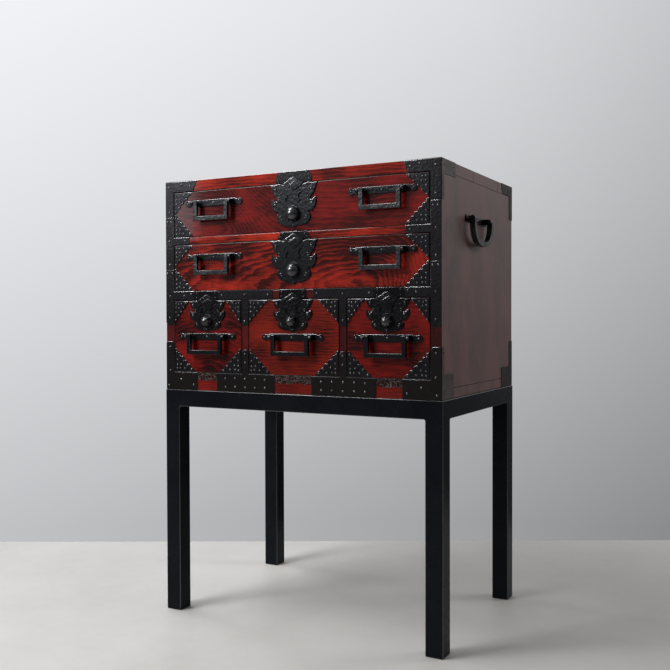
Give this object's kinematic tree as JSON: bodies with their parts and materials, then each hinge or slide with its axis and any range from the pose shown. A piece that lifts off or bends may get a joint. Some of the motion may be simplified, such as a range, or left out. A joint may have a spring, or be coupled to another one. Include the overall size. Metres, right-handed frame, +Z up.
{
  "type": "tansu chest on a stand",
  "caption": "Red-lacquered tansu chest of drawers with black iron locks, bail handles and side carrying handles, on a black square-tube steel stand; the drawers slide and the bails swing.",
  "frame": {"origin": "on the floor, under the middle of the object's box", "axes": "+Z up; -Y towards a person who faces the drawers; +X to that person's right"},
  "size_m": [0.709, 0.4742, 0.9752],
  "materials": {
    "red_lacquer": "deep red lacquer, half gloss",
    "dark_lacquer": "dark stained, matte",
    "plain_timber": "unfinished",
    "black_iron": "blackened, hammered",
    "black_steel": "satin black paint"
  },
  "bodies": {
    "chest": {"back_board": "plain_timber", "bottom_board": "red_lacquer", "left_divider": "red_lacquer", "left_side_board": "dark_lacquer", "left_side_handle_plate": "black_iron", "middle_shelf": "red_lacquer", "right_divider": "red_lacquer", "right_side_board": "dark_lacquer", "right_side_handle_plate": "black_iron", "stand_front_left_leg": "black_steel", "stand_front_rail": "black_steel", "stand_front_right_leg": "black_steel", "stand_left_rail": "black_steel", "stand_rear_left_leg": "black_steel", "stand_rear_rail": "black_steel", "stand_rear_right_leg": "black_steel", "stand_right_rail": "black_steel", "top_board": "red_lacquer", "upper_shelf": "red_lacquer"},
    "top_drawer": {"top_drawer_box": "plain_timber", "top_drawer_front": "red_lacquer", "top_drawer_left_handle_plate": "black_iron", "top_drawer_lock_plate": "black_iron", "top_drawer_right_handle_plate": "black_iron"},
    "second_drawer": {"second_drawer_box": "plain_timber", "second_drawer_front": "red_lacquer", "second_drawer_left_handle_plate": "black_iron", "second_drawer_lock_plate": "black_iron", "second_drawer_right_handle_plate": "black_iron"},
    "lower_left_drawer": {"lower_left_drawer_box": "plain_timber", "lower_left_drawer_front": "red_lacquer", "lower_left_drawer_handle_plate": "black_iron", "lower_left_drawer_lock_plate": "black_iron"},
    "lower_middle_drawer": {"lower_middle_drawer_box": "plain_timber", "lower_middle_drawer_front": "red_lacquer", "lower_middle_drawer_handle_plate": "black_iron", "lower_middle_drawer_lock_plate": "black_iron"},
    "lower_right_drawer": {"lower_right_drawer_box": "plain_timber", "lower_right_drawer_front": "red_lacquer", "lower_right_drawer_handle_plate": "black_iron", "lower_right_drawer_lock_plate": "black_iron"},
    "left_side_handle_bail_body": {"left_side_handle_bail": "black_iron"},
    "lower_left_drawer_bail_body": {"lower_left_drawer_bail": "black_iron"},
    "lower_left_drawer_lock_bolt_body": {"lower_left_drawer_lock_bolt": "black_iron"},
    "lower_left_drawer_lock_boss_body": {"lower_left_drawer_lock_boss": "black_iron"},
    "lower_middle_drawer_bail_body": {"lower_middle_drawer_bail": "black_iron"},
    "lower_middle_drawer_lock_bolt_body": {"lower_middle_drawer_lock_bolt": "black_iron"},
    "lower_middle_drawer_lock_boss_body": {"lower_middle_drawer_lock_boss": "black_iron"},
    "lower_right_drawer_bail_body": {"lower_right_drawer_bail": "black_iron"},
    "lower_right_drawer_lock_bolt_body": {"lower_right_drawer_lock_bolt": "black_iron"},
    "lower_right_drawer_lock_boss_body": {"lower_right_drawer_lock_boss": "black_iron"},
    "right_side_handle_bail_body": {"right_side_handle_bail": "black_iron"},
    "second_drawer_left_bail_body": {"second_drawer_left_bail": "black_iron"},
    "second_drawer_lock_bolt_body": {"second_drawer_lock_bolt": "black_iron"},
    "second_drawer_lock_boss_body": {"second_drawer_lock_boss": "black_iron"},
    "second_drawer_right_bail_body": {"second_drawer_right_bail": "black_iron"},
    "top_drawer_left_bail_body": {"top_drawer_left_bail": "black_iron"},
    "top_drawer_lock_bolt_body": {"top_drawer_lock_bolt": "black_iron"},
    "top_drawer_lock_boss_body": {"top_drawer_lock_boss": "black_iron"},
    "top_drawer_right_bail_body": {"top_drawer_right_bail": "black_iron"}
  },
  "joints": [
    {"name": "top_drawer_slide", "type": "slide", "parent": "chest", "child": "top_drawer", "axis": [0, -1, 0], "range_m": [0, 0.3]},
    {"name": "second_drawer_slide", "type": "slide", "parent": "chest", "child": "second_drawer", "axis": [0, -1, 0], "range_m": [0, 0.3]},
    {"name": "lower_left_drawer_slide", "type": "slide", "parent": "chest", "child": "lower_left_drawer", "axis": [0, -1, 0], "range_m": [0, 0.3]},
    {"name": "lower_middle_drawer_slide", "type": "slide", "parent": "chest", "child": "lower_middle_drawer", "axis": [0, -1, 0], "range_m": [0, 0.3]},
    {"name": "lower_right_drawer_slide", "type": "slide", "parent": "chest", "child": "lower_right_drawer", "axis": [0, -1, 0], "range_m": [0, 0.3]},
    {"name": "left_side_handle_bail_hinge", "type": "hinge", "parent": "chest", "child": "left_side_handle_bail_body", "pos_m": [-0.3485, -0.0189, 0.8722], "axis": [0, 1, 0], "range_deg": [0, 100]},
    {"name": "lower_left_drawer_bail_hinge", "type": "hinge", "parent": "lower_left_drawer", "child": "lower_left_drawer_bail_body", "pos_m": [-0.22025, -0.2309, 0.62575], "axis": [-1, 0, 0], "range_deg": [-10, 110]},
    {"name": "lower_middle_drawer_bail_hinge", "type": "hinge", "parent": "lower_middle_drawer", "child": "lower_middle_drawer_bail_body", "pos_m": [0, -0.2309, 0.62575], "axis": [-1, 0, 0], "range_deg": [-10, 110]},
    {"name": "lower_right_drawer_bail_hinge", "type": "hinge", "parent": "lower_right_drawer", "child": "lower_right_drawer_bail_body", "pos_m": [0.22025, -0.2309, 0.62575], "axis": [-1, 0, 0], "range_deg": [-10, 110]},
    {"name": "right_side_handle_bail_hinge", "type": "hinge", "parent": "chest", "child": "right_side_handle_bail_body", "pos_m": [0.3485, -0.0189, 0.8722], "axis": [0, -1, 0], "range_deg": [0, 100]},
    {"name": "second_drawer_left_bail_hinge", "type": "hinge", "parent": "second_drawer", "child": "second_drawer_left_bail_body", "pos_m": [-0.201, -0.2309, 0.80195], "axis": [-1, 0, 0], "range_deg": [-10, 110]},
    {"name": "second_drawer_right_bail_hinge", "type": "hinge", "parent": "second_drawer", "child": "second_drawer_right_bail_body", "pos_m": [0.209, -0.2309, 0.80195], "axis": [-1, 0, 0], "range_deg": [-10, 110]},
    {"name": "top_drawer_left_bail_hinge", "type": "hinge", "parent": "top_drawer", "child": "top_drawer_left_bail_body", "pos_m": [-0.201, -0.2309, 0.92195], "axis": [-1, 0, 0], "range_deg": [-10, 110]},
    {"name": "top_drawer_right_bail_hinge", "type": "hinge", "parent": "top_drawer", "child": "top_drawer_right_bail_body", "pos_m": [0.209, -0.2309, 0.92195], "axis": [-1, 0, 0], "range_deg": [-10, 110]},
    {"name": "top_drawer_lock_press", "type": "slide", "parent": "top_drawer", "child": "top_drawer_lock_boss_body", "axis": [0, 1, 0], "range_m": [0, 0.004]},
    {"name": "top_drawer_lock_throw", "type": "slide", "parent": "top_drawer", "child": "top_drawer_lock_bolt_body", "axis": [0, 0, 1], "range_m": [0, 0.008]},
    {"name": "second_drawer_lock_press", "type": "slide", "parent": "second_drawer", "child": "second_drawer_lock_boss_body", "axis": [0, 1, 0], "range_m": [0, 0.004]},
    {"name": "second_drawer_lock_throw", "type": "slide", "parent": "second_drawer", "child": "second_drawer_lock_bolt_body", "axis": [0, 0, 1], "range_m": [0, 0.008]},
    {"name": "lower_left_drawer_lock_press", "type": "slide", "parent": "lower_left_drawer", "child": "lower_left_drawer_lock_boss_body", "axis": [0, 1, 0], "range_m": [0, 0.004]},
    {"name": "lower_left_drawer_lock_throw", "type": "slide", "parent": "lower_left_drawer", "child": "lower_left_drawer_lock_bolt_body", "axis": [0, 0, 1], "range_m": [0, 0.008]},
    {"name": "lower_middle_drawer_lock_press", "type": "slide", "parent": "lower_middle_drawer", "child": "lower_middle_drawer_lock_boss_body", "axis": [0, 1, 0], "range_m": [0, 0.004]},
    {"name": "lower_middle_drawer_lock_throw", "type": "slide", "parent": "lower_middle_drawer", "child": "lower_middle_drawer_lock_bolt_body", "axis": [0, 0, 1], "range_m": [0, 0.008]},
    {"name": "lower_right_drawer_lock_press", "type": "slide", "parent": "lower_right_drawer", "child": "lower_right_drawer_lock_boss_body", "axis": [0, 1, 0], "range_m": [0, 0.004]},
    {"name": "lower_right_drawer_lock_throw", "type": "slide", "parent": "lower_right_drawer", "child": "lower_right_drawer_lock_bolt_body", "axis": [0, 0, 1], "range_m": [0, 0.008]}
  ],
  "couplings": [
    {"joint": "top_drawer_lock_throw", "follows": "top_drawer_lock_press", "ratio": 2},
    {"joint": "second_drawer_lock_throw", "follows": "second_drawer_lock_press", "ratio": 2},
    {"joint": "lower_left_drawer_lock_throw", "follows": "lower_left_drawer_lock_press", "ratio": 2},
    {"joint": "lower_middle_drawer_lock_throw", "follows": "lower_middle_drawer_lock_press", "ratio": 2},
    {"joint": "lower_right_drawer_lock_throw", "follows": "lower_right_drawer_lock_press", "ratio": 2}
  ]
}
